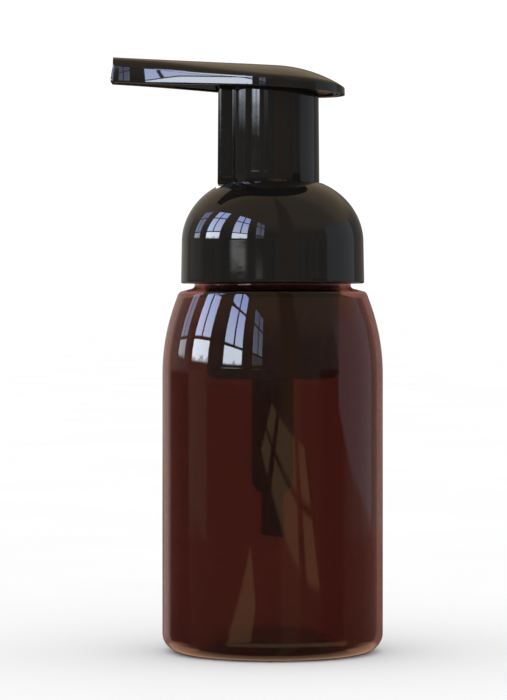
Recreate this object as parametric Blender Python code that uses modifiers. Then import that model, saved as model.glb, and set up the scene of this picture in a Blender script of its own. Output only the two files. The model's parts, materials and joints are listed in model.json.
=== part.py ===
"""Foam soap pump dispenser: amber bottle, screw collar, press-down head and the pump inside.

The bottle stands on z = 0 with its axis on Z, and the spout points to -X. Constants and
profiles are in millimetres; every builder turns them into metres with MM.
"""

import math

import bmesh
import bpy
from mathutils import Matrix, Vector

MM = 0.001
GAP = 0.3  # clearance between neighbouring pieces
OBJECT_NAME = "foam_soap_dispenser"

# Bottle
BOTTLE_RADIUS = 28.5
BOTTLE_WALL = 1.5
BASE_THICKNESS = 1.8
BASE_CORNER = 4.6
SHOULDER_START_Z = 71.4
SHOULDER_ARC = 54.5
SHOULDER_EDGE = (24.25, 92.7)
NECK_RADIUS = 20.2
NECK_FOOT_Z = 93.75
NECK_ROOT_RADIUS = 19.2
NECK_BORE_RADIUS = 17.6
LIP_Z = 110.0

# Thread shared by the bottle's neck and the collar
THREAD_LEAD = 4.2
THREAD_TURNS = 1.25
THREAD_START_Z = 101.5
THREAD_CREST_RADIUS = 20.4
THREAD_ROOT_HALF_WIDTH = 0.85
THREAD_CREST_HALF_WIDTH = 0.5
THREAD_ROOT_DEPTH = 0.4  # how far a ridge reaches into the wall that it stands on
COLLAR_THREAD_CREST = 19.75
COLLAR_THREAD_DROP = 1.55  # the collar's ridge runs this far below the bottle's

# Collar
COLLAR_RADIUS = 23.7
COLLAR_BOTTOM_Z = 94.9
COLLAR_BORE_RADIUS = 21.2
COLLAR_LEDGE_Z = 113.1
COLLAR_LEDGE_RADIUS = 18.2
DOME_FOOT_Z = 105.5
DOME_CENTRE_RADIUS = 5.1
DOME_OUTER = (18.4, 16.8)  # semi-axes, radial and upright
DOME_INNER = (16.7, 15.0)
HEAD_CLEARANCE = 0.45

# Pump housing: air cylinder above, liquid cylinder below
FLANGE_RADIUS = 19.6
FLANGE_BOTTOM_Z = 111.4
FLANGE_TOP_Z = 112.8
AIR_OUTER_RADIUS = 17.2
AIR_BORE_RADIUS = 15.9
GUIDE_SEAT_RADIUS = 16.4
GUIDE_SEAT_Z = 102.5
AIR_BOTTOM_Z = 70.4
AIR_FLOOR_Z = 71.8
LIQUID_OUTER_RADIUS = 5.55
LIQUID_BORE_RADIUS = 4.4
LIQUID_RIM_Z = 76.0
LIQUID_BOTTOM_Z = 43.7
CONE_BOTTOM_Z = 41.1
INLET_SEAT_Z = 49.5
INLET_BALL_RADIUS = 2.4

# Dip tube
TUBE_RADIUS = 3.02
TUBE_BORE_RADIUS = 2.1
TUBE_TOP_Z = 48.7
TUBE_END_Z = 29.7
TUBE_CUT_ANGLE = math.radians(9)

# Pistons and stem
STEM_BOTTOM_Z = 69.5
STEM_TOP_Z = 112.7
STEM_RADIUS = 3.4
STEM_BORE_RADIUS = 1.3
OUTLET_SEAT_Z = 106.5
OUTLET_BALL_RADIUS = 1.9
PISTON_RADIUS = 15.6
PISTON_DISC_Z = 97.0
HUB_RADIUS = 5.0
AIR_HOLE_RADIUS = 0.8
AIR_HOLE_CIRCLE = 11.5
AIR_HOLE_COUNT = 6
SPRING_RADIUS = 7.3
SPRING_WIRE_RADIUS = 0.5
SPRING_TURNS = 7

# Head
SLEEVE_RADIUS = 12.1
SLEEVE_WALL = 1.5
SLEEVE_BOTTOM_Z = 118.6
SLEEVE_PLATE_Z = 143.4
SOCKET_RADIUS = 6.6
SOCKET_BORE_RADIUS = 5.3
SOCKET_BOTTOM_Z = 101.0
SPIGOT_SEAT_Z = 138.7  # the ledge in the socket that the duct's spigot sits above
BOSS_FRONT_X = -14.2
BOSS_BOTTOM_Z = 120.3
BOSS_HALF_WIDTH = 6.5
BOSS_WALL = 1.3
BOSS_CORNER = 1.2
SCREEN_THICKNESS = 0.4
SCREEN_SLEEVE_BOTTOM_Z = 116.3
SCREEN_SLEEVE_TOP_Z = 126.3

# Paddle
PADDLE_RADIUS = 18.7
TIP_X = -41.7
SPOUT_TAPER = math.radians(25.3)  # the spout's sides leave the disc at this angle, in plan
FLARE_POWER = 2.8  # how quickly the spout's sides turn parallel towards its tip
RIM_WALL = 1.55
RIM_DRAFT = 0.3  # how far the rim leans in
ROOF_THICKNESS = 1.35
UNDERSIDE_Z = 144.45
UNDERSIDE_SLOPE = -0.052
RIDGE_Z = 151.1
RIDGE_END_X = 1.2
RIDGE_ARC = 33.5
RIM_TOP_Z = 146.4
RIM_TOP_SLOPE_SPOUT = -0.1055
RIM_TOP_SLOPE_DISC = -0.064
DUCT_HALF_WIDTH = 2.1
DUCT_HEIGHT = 3.4
DUCT_LIFT = 1.1  # height of the duct above the paddle's underside
DUCT_WALL = 0.6
DUCT_CHAMBER_RADIUS = 5.6
PLATE_LIFT = 0.35  # height of the duct's bottom plate above the paddle's underside
PLATE_THICKNESS = 1.0
SLEEVE_TOP_LIFT = 0.8
CROWN_POWER = 2.3  # 2 is a parabola across the paddle, and more is flatter on top
EDGE_ROUND = 1.0  # radius of the round between the rim and the crown, on the disc
EDGE_ROUND_TIP = 2.0  # and at the spout's tip
CROWN_POINTS = (1.0, 0.985, 0.955, 0.9, 0.78, 0.55, 0.2)  # as shares of the half width

ROUND_STEPS = 40
SMALL_STEPS = 24


# ---------------------------------------------------------------- scene and objects

def clear_scene():
    for obj in list(bpy.data.objects):
        bpy.data.objects.remove(obj)


def new_collection(name):
    collection = bpy.data.collections.new(name)
    bpy.context.scene.collection.children.link(collection)
    return collection


def plastic(name, colour, roughness=0.3, metallic=0.0, transmission=0.0):
    material = bpy.data.materials.new(name)
    material.use_nodes = True
    shader = material.node_tree.nodes["Principled BSDF"]
    shader.inputs["Base Color"].default_value = (*colour, 1.0)
    shader.inputs["Roughness"].default_value = roughness
    shader.inputs["Metallic"].default_value = metallic
    shader.inputs["Transmission Weight"].default_value = transmission
    return material


def object_from(name, bm, collection):
    mesh = bpy.data.meshes.new(name)
    bm.to_mesh(mesh)
    bm.free()
    obj = bpy.data.objects.new(name, mesh)
    collection.objects.link(obj)
    if collection is cutters:
        obj.hide_render = True
        obj.display_type = "WIRE"
    return obj


def realised(obj):
    """The object with its modifiers applied, or a curve as a welded mesh."""
    graph = bpy.context.evaluated_depsgraph_get()
    name, collection = obj.name, obj.users_collection[0]
    mesh = bpy.data.meshes.new_from_object(obj.evaluated_get(graph))
    place = obj.matrix_world.copy()
    bpy.data.objects.remove(obj)
    bm = bmesh.new()
    bm.from_mesh(mesh)
    bmesh.ops.remove_doubles(bm, verts=bm.verts, dist=1e-7)
    bm.to_mesh(mesh)
    bm.free()
    made = bpy.data.objects.new(name, mesh)
    made.matrix_world = place
    collection.objects.link(made)
    return made


def finished(obj, material):
    """Applies what is left of the modifiers, then sets the shading and the material."""
    bpy.context.view_layer.update()
    obj = realised(obj)
    obj.data.materials.clear()
    obj.data.materials.append(material)
    obj.data.shade_smooth()
    obj.data.set_sharp_from_angle(angle=math.radians(32))
    return obj


def combine(obj, other, operation):
    modifier = obj.modifiers.new(f"{operation.lower()}_{other.name}", "BOOLEAN")
    modifier.operation = operation
    modifier.object = other


# ---------------------------------------------------------------- shapes

def rounded(corners, largest_turn=math.radians(31)):
    """The outline through corners (r, z) or (r, z, fillet radius), its fillets as arcs."""
    outline = []
    for i, corner in enumerate(corners):
        here = Vector(corner[:2])
        if len(corner) == 2:
            outline.append(here)
            continue
        back = (Vector(corners[i - 1][:2]) - here).normalized()
        ahead = (Vector(corners[(i + 1) % len(corners)][:2]) - here).normalized()
        half = back.angle(ahead) / 2
        centre = here + (back + ahead).normalized() * corner[2] / math.sin(half)
        first = here + back * corner[2] / math.tan(half)
        start = first - centre
        turn = start.angle_signed(here + ahead * corner[2] / math.tan(half) - centre)
        pieces = max(1, math.ceil(abs(turn) / largest_turn))
        for k in range(pieces + 1):
            outline.append(centre + Matrix.Rotation(-turn * k / pieces, 2) @ start)
    return outline


def ellipse_arc(centre, semi_axes, start, end, pieces):
    """Points on an ellipse from angle start to angle end, in radians."""
    for k in range(pieces + 1):
        angle = start + (end - start) * k / pieces
        yield (
            centre[0] + semi_axes[0] * math.cos(angle),
            centre[1] + semi_axes[1] * math.sin(angle),
        )


def turned(name, outline, collection, closed=True, steps=ROUND_STEPS):
    """A turned solid. The outline (r, z) runs up the bore, out, and down the outer side."""
    bm = bmesh.new()
    verts = [bm.verts.new((r * MM, 0, z * MM)) for r, z in outline]
    pairs = list(zip(verts, verts[1:])) + ([(verts[-1], verts[0])] if closed else [])
    for a, b in pairs:
        bm.edges.new((a, b))
    obj = object_from(name, bm, collection)
    screw = obj.modifiers.new("turn", "SCREW")
    screw.steps = screw.render_steps = steps
    screw.use_merge_vertices = True
    screw.merge_threshold = 1e-6
    bpy.context.view_layer.update()
    return realised(obj)


def helical_ridge(name, root_radius, crest_radius, start_z):
    """One thread ridge: a trapezium swept up the shared helix, with its ends closed."""
    root = root_radius - math.copysign(THREAD_ROOT_DEPTH, crest_radius - root_radius)
    section = [
        (root, start_z + THREAD_ROOT_HALF_WIDTH),
        (crest_radius, start_z + THREAD_CREST_HALF_WIDTH),
        (crest_radius, start_z - THREAD_CREST_HALF_WIDTH),
        (root, start_z - THREAD_ROOT_HALF_WIDTH),
    ]
    bm = bmesh.new()
    verts = [bm.verts.new((r * MM, 0, z * MM)) for r, z in section]
    for a, b in zip(verts, verts[1:] + verts[:1]):
        bm.edges.new((a, b))
    obj = object_from(name, bm, cutters)
    screw = obj.modifiers.new("helix", "SCREW")
    screw.angle = math.tau * THREAD_TURNS
    screw.screw_offset = THREAD_LEAD * THREAD_TURNS * MM
    screw.steps = screw.render_steps = round(ROUND_STEPS * THREAD_TURNS)
    bpy.context.view_layer.update()
    obj = realised(obj)
    bm = bmesh.new()
    bm.from_mesh(obj.data)
    bmesh.ops.holes_fill(bm, edges=[e for e in bm.edges if e.is_boundary], sides=4)
    bmesh.ops.recalc_face_normals(bm, faces=bm.faces)
    bm.to_mesh(obj.data)
    bm.free()
    obj.hide_render = True
    obj.display_type = "WIRE"
    return obj


def block(name, low, high, corner=0.0, along="Z", collection=None):
    """A box from corner low to corner high, its edges along one axis rounded."""
    bm = bmesh.new()
    bmesh.ops.create_cube(bm, size=1)
    low, high = Vector(low) * MM, Vector(high) * MM
    bmesh.ops.scale(bm, vec=high - low, verts=bm.verts)
    bmesh.ops.translate(bm, vec=(low + high) / 2, verts=bm.verts)
    if corner:
        axis = Vector([float(letter == along) for letter in "XYZ"])
        edges = [
            e for e in bm.edges
            if abs((e.verts[1].co - e.verts[0].co).normalized().dot(axis)) > 0.9
        ]
        bmesh.ops.bevel(
            bm, geom=edges, offset=corner * MM, segments=3, profile=0.5, affect="EDGES"
        )
    return object_from(name, bm, collection or cutters)


def rod(name, radius, low_z, high_z, place=(0.0, 0.0), steps=SMALL_STEPS, collection=None):
    """An upright cylinder."""
    bm = bmesh.new()
    bmesh.ops.create_cone(
        bm, cap_ends=True, segments=steps, radius1=radius * MM, radius2=radius * MM,
        depth=(high_z - low_z) * MM,
        matrix=Matrix.Translation(
            (place[0] * MM, place[1] * MM, (low_z + high_z) / 2 * MM)
        ),
    )
    return object_from(name, bm, collection or cutters)


def ball(name, radius, z, collection):
    bm = bmesh.new()
    bmesh.ops.create_uvsphere(bm, u_segments=16, v_segments=10, radius=radius * MM)
    obj = object_from(name, bm, collection)
    obj.location.z = z * MM
    bpy.context.view_layer.update()
    return obj


def ring_of_holes(obj, radius, circle, count, low_z, high_z):
    for k in range(count):
        angle = math.tau * (k + 0.35) / count
        place = (circle * math.cos(angle), circle * math.sin(angle))
        hole = rod(f"{obj.name}_hole_{k}", radius, low_z, high_z, place, steps=8)
        combine(obj, hole, "DIFFERENCE")


# ---------------------------------------------------------------- bottle and collar

def shoulder_radius(z, inset=0.0):
    """Radius of the bottle's side above the start of its shoulder."""
    rise = z - SHOULDER_START_Z
    arc = SHOULDER_ARC - inset
    return BOTTLE_RADIUS - SHOULDER_ARC + math.sqrt(arc * arc - rise * rise)


def build_bottle():
    inside_edge_z = SHOULDER_EDGE[1] - BOTTLE_WALL
    inner_z = [SHOULDER_START_Z + (inside_edge_z - SHOULDER_START_Z) * k / 4 for k in range(4)]
    outer_z = [SHOULDER_EDGE[1] + (SHOULDER_START_Z - SHOULDER_EDGE[1]) * k / 5 for k in range(1, 6)]
    outline = rounded([
        (0, BASE_THICKNESS),
        (BOTTLE_RADIUS - BOTTLE_WALL, BASE_THICKNESS, BASE_CORNER - BOTTLE_WALL),
        *[(shoulder_radius(z, BOTTLE_WALL), z) for z in inner_z],
        (shoulder_radius(inside_edge_z, BOTTLE_WALL), inside_edge_z, 0.8),
        (NECK_BORE_RADIUS, NECK_FOOT_Z - BOTTLE_WALL, 1.2),
        (NECK_BORE_RADIUS, LIP_Z),
        (NECK_ROOT_RADIUS, LIP_Z, 0.4),
        (NECK_ROOT_RADIUS, COLLAR_BOTTOM_Z + 1.4),
        (NECK_RADIUS, COLLAR_BOTTOM_Z + 0.8),
        (NECK_RADIUS, NECK_FOOT_Z, 0.9),
        (*SHOULDER_EDGE, 1.5),
        *[(shoulder_radius(z), z) for z in outer_z],
        (BOTTLE_RADIUS, 0, BASE_CORNER),
        (0, 0),
    ])
    bottle = turned("bottle", outline, parts, closed=False)
    ridge = helical_ridge(
        "bottle_thread", NECK_ROOT_RADIUS, THREAD_CREST_RADIUS, THREAD_START_Z
    )
    combine(bottle, ridge, "UNION")
    return finished(bottle, plastic("amber_pet", (0.19, 0.077, 0.06), 0.05, 0, 0.95))


def build_collar():
    centre = (DOME_CENTRE_RADIUS, DOME_FOOT_Z)
    hole = SLEEVE_RADIUS + HEAD_CLEARANCE
    inner_start = math.acos((COLLAR_LEDGE_RADIUS - DOME_CENTRE_RADIUS) / DOME_INNER[0])
    inner_end = math.acos((hole - DOME_CENTRE_RADIUS) / DOME_INNER[0])
    outer_start = math.acos((hole - DOME_CENTRE_RADIUS) / DOME_OUTER[0])
    flange_room = FLANGE_RADIUS + GAP
    outline = rounded([
        (COLLAR_BORE_RADIUS, COLLAR_BOTTOM_Z),
        (COLLAR_BORE_RADIUS, FLANGE_BOTTOM_Z - 0.8),
        (flange_room, FLANGE_BOTTOM_Z - 0.2),
        (flange_room, COLLAR_LEDGE_Z),
        (COLLAR_LEDGE_RADIUS, COLLAR_LEDGE_Z),
        *ellipse_arc(centre, DOME_INNER, inner_start, inner_end, 3),
        *ellipse_arc(centre, DOME_OUTER, outer_start, 0, 8),
        (COLLAR_RADIUS, COLLAR_BOTTOM_Z, 0.5),
    ])
    collar = turned("collar", outline, parts)
    ridge = helical_ridge(
        "collar_thread", COLLAR_BORE_RADIUS, COLLAR_THREAD_CREST,
        THREAD_START_Z - COLLAR_THREAD_DROP,
    )
    combine(collar, ridge, "UNION")
    key = block(
        "collar_key",
        (BOSS_FRONT_X - HEAD_CLEARANCE, -BOSS_HALF_WIDTH - HEAD_CLEARANCE, COLLAR_LEDGE_Z + 3),
        (0, BOSS_HALF_WIDTH + HEAD_CLEARANCE, COLLAR_LEDGE_Z + 10),
        corner=BOSS_CORNER,
    )
    combine(collar, key, "DIFFERENCE")
    return finished(collar, plastic("black_collar", (0.012, 0.011, 0.01), 0.12))


# ---------------------------------------------------------------- pump body

def build_pump_housing():
    throat = 1.4
    socket = TUBE_RADIUS + GAP
    bead_z = INLET_SEAT_Z + 5.7
    outline = rounded([
        (socket, CONE_BOTTOM_Z),
        (socket, TUBE_TOP_Z + GAP),
        (throat, TUBE_TOP_Z + GAP),
        (throat, INLET_SEAT_Z),
        (LIQUID_BORE_RADIUS, INLET_SEAT_Z + LIQUID_BORE_RADIUS - throat),
        (LIQUID_BORE_RADIUS, bead_z - 0.6),
        (INLET_BALL_RADIUS - 0.1, bead_z),
        (INLET_BALL_RADIUS - 0.1, bead_z + 0.5),
        (LIQUID_BORE_RADIUS, bead_z + 1.1),
        (LIQUID_BORE_RADIUS, LIQUID_RIM_Z),
        (LIQUID_OUTER_RADIUS, LIQUID_RIM_Z),
        (LIQUID_OUTER_RADIUS, AIR_FLOOR_Z),
        (AIR_BORE_RADIUS, AIR_FLOOR_Z, 1.0),
        (AIR_BORE_RADIUS, GUIDE_SEAT_Z),
        (GUIDE_SEAT_RADIUS, GUIDE_SEAT_Z),
        (GUIDE_SEAT_RADIUS, FLANGE_TOP_Z),
        (FLANGE_RADIUS, FLANGE_TOP_Z),
        (FLANGE_RADIUS, FLANGE_BOTTOM_Z),
        (AIR_OUTER_RADIUS, FLANGE_BOTTOM_Z),
        (AIR_OUTER_RADIUS, AIR_BOTTOM_Z, 2.0),
        (LIQUID_OUTER_RADIUS, AIR_BOTTOM_Z),
        (LIQUID_OUTER_RADIUS, LIQUID_BOTTOM_Z),
        (TUBE_RADIUS + 1.0, CONE_BOTTOM_Z),
    ])
    housing = turned("pump_housing", outline, parts, steps=32)
    return finished(housing, plastic("black_housing", (0.02, 0.018, 0.017), 0.35))


def build_neck_gasket():
    low, high = LIP_Z + GAP, FLANGE_BOTTOM_Z - GAP
    inner, outer = AIR_OUTER_RADIUS + GAP, FLANGE_RADIUS - 0.1
    outline = [(inner, low), (inner, high), (outer, high), (outer, low)]
    gasket = turned("neck_gasket", outline, parts, steps=40)
    return finished(gasket, plastic("white_foam_liner", (0.75, 0.75, 0.72), 0.6))


def build_stem_guide():
    bore = SOCKET_RADIUS + 0.4
    low, top = GUIDE_SEAT_Z + GAP, GUIDE_SEAT_Z + 7.0
    outline = [
        (bore, low),
        (bore, top),
        (bore + 1.2, top),
        (bore + 1.2, low + 1.2),
        (GUIDE_SEAT_RADIUS - GAP, low + 1.2),
        (GUIDE_SEAT_RADIUS - GAP, low),
    ]
    guide = turned("stem_guide", outline, parts, steps=40)
    ring_of_holes(guide, 1.0, 12.2, 4, low - 1, low + 2.2)
    return finished(guide, plastic("white_guide", (0.7, 0.7, 0.68), 0.4))


def build_dip_tube():
    outline = [
        (TUBE_BORE_RADIUS, TUBE_END_Z - 2),
        (TUBE_BORE_RADIUS, TUBE_TOP_Z),
        (TUBE_RADIUS, TUBE_TOP_Z),
        (TUBE_RADIUS, TUBE_END_Z - 2),
    ]
    tube = turned("dip_tube", outline, parts, steps=SMALL_STEPS)
    knife = block("tube_knife", (-8, -8, -8), (8, 8, 0))
    knife.rotation_euler = (0, TUBE_CUT_ANGLE, 0)
    knife.location.z = TUBE_END_Z * MM
    combine(tube, knife, "DIFFERENCE")
    return finished(tube, plastic("dark_tube", (0.05, 0.045, 0.04), 0.35))


def build_inlet_ball():
    seat_apex = INLET_SEAT_Z - 1.4  # where the 45-degree seat's cone would reach the axis
    centre = seat_apex + (INLET_BALL_RADIUS + GAP) * math.sqrt(2)
    made = ball("inlet_ball", INLET_BALL_RADIUS, centre, parts)
    return finished(made, plastic("steel_ball", (0.6, 0.6, 0.6), 0.15, 1.0))


def build_return_spring():
    """A coil whose first and last turns lie close, as on a spring with closed ends."""
    low = AIR_FLOOR_Z + GAP + SPRING_WIRE_RADIUS
    high = PISTON_DISC_Z - GAP - SPRING_WIRE_RADIUS
    closed_rise = 2.3 * SPRING_WIRE_RADIUS
    points_per_turn = 10
    count = SPRING_TURNS * points_per_turn + 1
    curve = bpy.data.curves.new("return_spring", "CURVE")
    curve.dimensions = "3D"
    curve.bevel_depth = SPRING_WIRE_RADIUS * MM
    curve.bevel_resolution = 1
    curve.use_fill_caps = True
    spline = curve.splines.new("POLY")
    spline.points.add(count - 1)
    open_rise = (high - low - 2 * closed_rise) / (SPRING_TURNS - 2)
    for k, point in enumerate(spline.points):
        turn = k / points_per_turn
        closed_below = min(turn, 1)
        closed_above = max(turn - (SPRING_TURNS - 1), 0)
        between = turn - closed_below - closed_above
        z = low + closed_rise * (closed_below + closed_above) + open_rise * between
        angle = math.tau * turn
        point.co = (
            SPRING_RADIUS * math.cos(angle) * MM,
            SPRING_RADIUS * math.sin(angle) * MM,
            z * MM,
            1,
        )
    spring = bpy.data.objects.new("return_spring", curve)
    parts.objects.link(spring)
    return finished(spring, plastic("spring_steel", (0.6, 0.6, 0.58), 0.25, 1.0))


# ---------------------------------------------------------------- pistons and valves

def build_air_piston():
    bore = STEM_RADIUS + GAP
    disc_top = PISTON_DISC_Z + 1.2
    lip_root = PISTON_RADIUS - 1.2
    outline = [
        (bore, PISTON_DISC_Z - 2),
        (bore, STEM_TOP_Z + 0.3),
        (HUB_RADIUS, STEM_TOP_Z + 0.3),
        (HUB_RADIUS, disc_top),
        (lip_root, disc_top),
        (PISTON_RADIUS - 0.45, disc_top + 3.4),
        (PISTON_RADIUS, disc_top + 3.4),
        (PISTON_RADIUS - 0.25, PISTON_DISC_Z + 0.6),
        (PISTON_RADIUS, PISTON_DISC_Z - 2.5),
        (PISTON_RADIUS - 0.45, PISTON_DISC_Z - 2.5),
        (lip_root, PISTON_DISC_Z),
        (HUB_RADIUS, PISTON_DISC_Z),
        (HUB_RADIUS, PISTON_DISC_Z - 2),
    ]
    piston = turned("air_piston", outline, parts, steps=40)
    ring_of_holes(
        piston, AIR_HOLE_RADIUS, AIR_HOLE_CIRCLE, AIR_HOLE_COUNT, PISTON_DISC_Z - 1, disc_top + 1
    )
    return finished(piston, plastic("white_piston", (0.75, 0.75, 0.74), 0.35))


def build_air_valve():
    low = PISTON_DISC_Z + 1.2 + GAP
    inner = HUB_RADIUS + GAP
    outline = [
        (inner, low),
        (inner, low + 1.9),
        (inner + 0.9, low + 1.9),
        (inner + 1.1, low + 0.7),
        (AIR_HOLE_CIRCLE + 2.0, low + 0.45),
        (AIR_HOLE_CIRCLE + 2.0, low),
    ]
    valve = turned("air_valve", outline, parts, steps=32)
    return finished(valve, plastic("clear_silicone", (0.8, 0.8, 0.8), 0.45))


def build_liquid_stem():
    neck = 2.3
    seal_low, seal_high = STEM_BOTTOM_Z + 0.8, STEM_BOTTOM_Z + 4.5
    ball_room = OUTLET_BALL_RADIUS + 0.6
    outline = [
        (STEM_BORE_RADIUS, STEM_BOTTOM_Z),
        (STEM_BORE_RADIUS, OUTLET_SEAT_Z),
        (ball_room, OUTLET_SEAT_Z + ball_room - STEM_BORE_RADIUS),
        (ball_room, STEM_TOP_Z),
        (STEM_RADIUS, STEM_TOP_Z),
        (STEM_RADIUS, seal_high),
        (neck, seal_high),
        (neck, seal_low),
        (STEM_RADIUS + 0.2, seal_low),
        (STEM_RADIUS + 0.2, seal_low - 0.4),
        (STEM_RADIUS - 0.3, STEM_BOTTOM_Z),
    ]
    stem = turned("liquid_stem", outline, parts, steps=SMALL_STEPS)
    return finished(stem, plastic("white_stem", (0.75, 0.75, 0.74), 0.35))


def build_liquid_piston():
    low, high = STEM_BOTTOM_Z + 0.8 + GAP, STEM_BOTTOM_Z + 4.5 - GAP
    lip = LIQUID_BORE_RADIUS - GAP
    outline = [
        (2.3 + GAP, low),
        (2.3 + GAP, high),
        (lip, high),
        (lip - 0.35, high - 0.8),
        (lip - 0.35, low + 0.8),
        (lip, low),
    ]
    seal = turned("liquid_piston", outline, parts, steps=SMALL_STEPS)
    return finished(seal, plastic("seal", (0.7, 0.7, 0.68), 0.4))


def build_outlet_ball():
    seat_apex = OUTLET_SEAT_Z - STEM_BORE_RADIUS
    centre = seat_apex + (OUTLET_BALL_RADIUS + GAP) * math.sqrt(2)
    made = ball("outlet_ball", OUTLET_BALL_RADIUS, centre, parts)
    return finished(made, plastic("steel_outlet_ball", (0.6, 0.6, 0.6), 0.15, 1.0))


def build_mixing_ring():
    low = STEM_TOP_Z + 0.3 + GAP
    hole = OUTLET_BALL_RADIUS - 0.7
    outer = SOCKET_BORE_RADIUS - GAP
    outline = [
        (hole, low),
        (hole, low + 1.0),
        (hole + 2.2, low + 2.0),
        (outer, low + 2.0),
        (outer, low),
    ]
    ring = turned("mixing_ring", outline, parts, steps=SMALL_STEPS)
    return finished(ring, plastic("white_ring", (0.75, 0.75, 0.74), 0.35))


def build_screen(name, low_z):
    """A foaming screen: a thin disc with rings of openings."""
    high_z = low_z + SCREEN_THICKNESS
    radius = SOCKET_BORE_RADIUS - GAP - 0.1
    screen = rod(name, radius, low_z, high_z, collection=parts)
    for circle, count in ((0.0, 1), (2.6, 7)):
        for k in range(count):
            angle = math.tau * k / count
            place = (circle * math.cos(angle), circle * math.sin(angle))
            hole = rod(f"{name}_{count}_{k}", 0.85, low_z - 1, high_z + 1, place, steps=6)
            combine(screen, hole, "DIFFERENCE")
    return finished(screen, plastic(name, (0.8, 0.8, 0.78), 0.5))


def build_mesh_sleeve():
    outer = SOCKET_BORE_RADIUS - GAP
    inner = outer - 1.1
    low, high = SCREEN_SLEEVE_BOTTOM_Z, SCREEN_SLEEVE_TOP_Z
    outline = [(inner, low), (inner, high), (outer, high), (outer, low)]
    sleeve = turned("mesh_sleeve", outline, parts, steps=SMALL_STEPS)
    return finished(sleeve, plastic("white_sleeve", (0.75, 0.75, 0.74), 0.35))


# ---------------------------------------------------------------- head

def underside_z(x):
    return UNDERSIDE_Z + UNDERSIDE_SLOPE * x


def ridge_z(x):
    """Height of the paddle's centre line: straight over the spout, then an arc down."""
    past = max(x - RIDGE_END_X, 0.0)
    drop = RIDGE_ARC - math.sqrt(RIDGE_ARC ** 2 - past ** 2)
    return RIDGE_Z + UNDERSIDE_SLOPE * (x - RIDGE_END_X) - drop


def rim_top_z(x):
    return RIM_TOP_Z + (RIM_TOP_SLOPE_SPOUT if x < 0 else RIM_TOP_SLOPE_DISC) * x


def half_width(x, inset=0.0):
    """Half the paddle's width in plan: a disc, and a spout whose sides leave it at a tangent."""
    radius = PADDLE_RADIUS - inset
    tangent_x = -radius * math.sin(SPOUT_TAPER)
    if x >= tangent_x:
        return math.sqrt(max(radius ** 2 - x ** 2, 0.0))
    length = tangent_x - TIP_X
    left = (tangent_x - x) / length
    narrowing = left - left ** (FLARE_POWER + 1) / (FLARE_POWER + 1)
    return radius * math.cos(SPOUT_TAPER) - math.tan(SPOUT_TAPER) * length * narrowing


def crown_height(x, across, width, crown):
    """Height above the rim at a share across of the half width: a round edge, then a dome."""
    towards_tip = min(max(x / TIP_X, 0.0), 1.0)
    largest = EDGE_ROUND + (EDGE_ROUND_TIP - EDGE_ROUND) * towards_tip
    edge = min(largest, 0.45 * crown, 0.45 * width)
    inwards = min((1 - across) * width / edge, 1.0)
    round_height = edge * math.sqrt(1 - (1 - inwards) ** 2)
    return round_height + (crown - edge) * (1 - across ** CROWN_POWER)


def paddle_section(x, inset, roof, drop):
    """Cross-section at x, anticlockwise seen from +X: the flat underside, then the crown."""
    width = half_width(x, inset)
    edge_z = rim_top_z(x) - roof
    crown = max(ridge_z(x) - roof - edge_z, 0.01)
    points = [(x, -width, underside_z(x) - drop), (x, width, underside_z(x) - drop)]
    for across in CROWN_POINTS + tuple(-share for share in reversed(CROWN_POINTS)):
        y = (width - RIM_DRAFT) * across
        points.append((x, y, edge_z + crown_height(x, abs(across), width, crown)))
    return points


def lofted(name, sections, collection):
    """A closed solid through sections that have the same number of points."""
    bm = bmesh.new()
    rings = [[bm.verts.new(Vector(p) * MM) for p in section] for section in sections]
    for ring_a, ring_b in zip(rings, rings[1:]):
        for k in range(len(ring_a)):
            j = (k + 1) % len(ring_a)
            bm.faces.new((ring_a[k], ring_a[j], ring_b[j], ring_b[k]))
    bm.faces.new(rings[0])
    bm.faces.new(reversed(rings[-1]))
    bmesh.ops.recalc_face_normals(bm, faces=bm.faces)
    return object_from(name, bm, collection)


def paddle_stations(inset):
    """Places along X for the paddle's sections, closer together round the disc's end."""
    radius = PADDLE_RADIUS - inset
    start = TIP_X + inset
    spout = [start + (-radius * 0.34 - start) * k / 9 for k in range(9)]
    disc = [radius * math.sin(math.radians(a)) for a in (-20, -8, 4, 16, 28, 40, 52, 63, 73, 81, 86.5)]
    return spout + disc


def build_head_paddle():
    outer = [paddle_section(x, 0.0, 0.0, 0.0) for x in paddle_stations(0.0)]
    chamfer = 0.7
    nose = [(x, y, max(z, underside_z(TIP_X) + chamfer)) for x, y, z in outer[0]]
    outer[0] = [(x + chamfer * 0.8, y, z) for x, y, z in outer[0]]
    paddle = lofted("head_paddle", [nose] + outer, parts)
    recess = lofted(
        "paddle_recess",
        [paddle_section(x, RIM_WALL, ROOF_THICKNESS, 3.0) for x in paddle_stations(RIM_WALL)],
        cutters,
    )
    combine(paddle, recess, "DIFFERENCE")
    port = block(
        "spout_port",
        (TIP_X - 2, -DUCT_HALF_WIDTH - GAP, DUCT_LIFT - GAP),
        (TIP_X + 4, DUCT_HALF_WIDTH + GAP, DUCT_LIFT + DUCT_HEIGHT + GAP),
        corner=0.8, along="X",
    )
    tilt_with_underside(port)
    combine(paddle, port, "DIFFERENCE")
    return finished(paddle, plastic("black_paddle", (0.012, 0.011, 0.01), 0.12))


def tilt_with_underside(obj):
    """Moves a piece drawn above z = 0 so that it lies above the paddle's sloping underside."""
    slope = math.atan(-UNDERSIDE_SLOPE)
    obj.matrix_world = Matrix.Translation((0, 0, UNDERSIDE_Z * MM)) @ Matrix.Rotation(slope, 4, "Y")


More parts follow.
